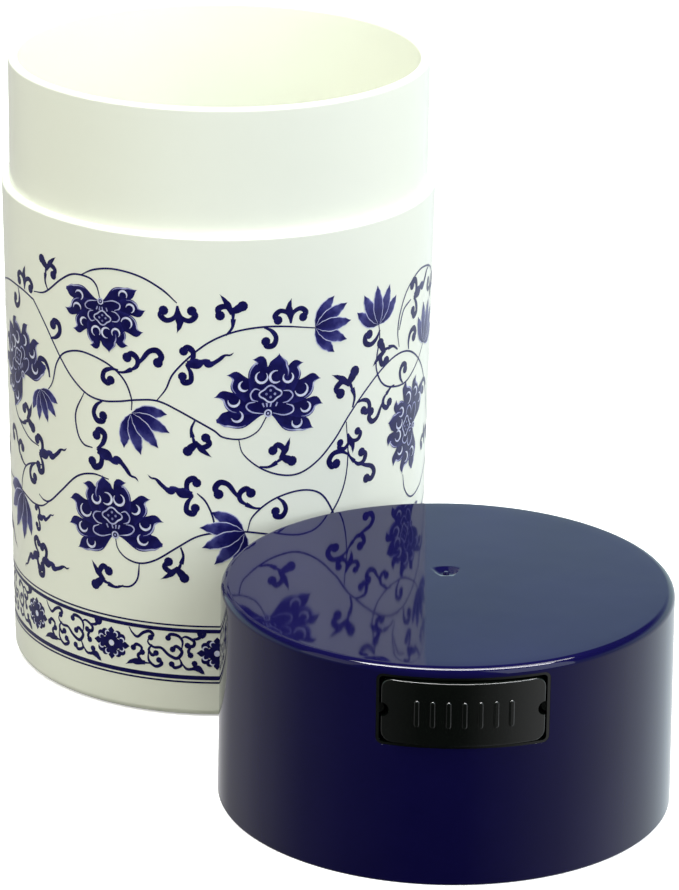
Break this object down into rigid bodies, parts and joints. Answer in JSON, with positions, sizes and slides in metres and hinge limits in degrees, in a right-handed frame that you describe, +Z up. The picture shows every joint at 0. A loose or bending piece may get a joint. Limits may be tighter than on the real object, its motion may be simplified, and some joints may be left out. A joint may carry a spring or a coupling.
{
  "type": "airtight spice canister",
  "caption": "Round airtight canister with a stepped neck and a blue floral print, and a deep vacuum cap with a push button, lying beside it.",
  "frame": {"origin": "centre of the canister's underside, on the surface it stands on", "axes": "+Z up along the canister's axis, out of its mouth; -Y the way the cap's button faces; +X completes a right-handed frame"},
  "size_m": [0.1242, 0.159, 0.1212],
  "materials": {
    "white_plastic": "glossy moulded",
    "blue_print": "glossy transfer print",
    "navy_plastic": "glossy moulded",
    "black_plastic": "satin moulded",
    "grey_plastic": "satin moulded",
    "clear_rubber": "soft silicone",
    "black_rubber": "soft",
    "spring_steel": "drawn wire"
  },
  "bodies": {
    "canister": {"canister_body": "white_plastic", "print_film": "blue_print"},
    "cap": {"cap_shell": "navy_plastic", "inner_plug": "navy_plastic", "seal_ring": "clear_rubber", "button_bezel": "black_plastic", "valve_housing": "grey_plastic"},
    "button": {"push_button": "black_plastic", "button_slide": "grey_plastic", "left_button_spring": "spring_steel", "right_button_spring": "spring_steel"},
    "valve": {"valve_stem": "grey_plastic", "lift_pin": "spring_steel", "valve_washer": "black_rubber", "valve_spring": "spring_steel"}
  },
  "joints": [
    {"name": "cap_lift", "type": "slide", "parent": "canister", "child": "cap", "axis": [0, 0, 1], "range_m": [0, 0.125]},
    {"name": "button_press", "type": "slide", "parent": "cap", "child": "button", "axis": [0, 1, 0], "range_m": [0, 0.0025], "stiffness_N_per_m": 700, "springref_m": -0.002, "deforming": ["left_button_spring", "right_button_spring"]},
    {"name": "valve_lift", "type": "slide", "parent": "cap", "child": "valve", "axis": [0, 0, 1], "range_m": [0, 0.002], "deforming": ["valve_spring"]}
  ],
  "couplings": [
    {"joint": "valve_lift", "follows": "button_press", "ratio": 0.8}
  ]
}
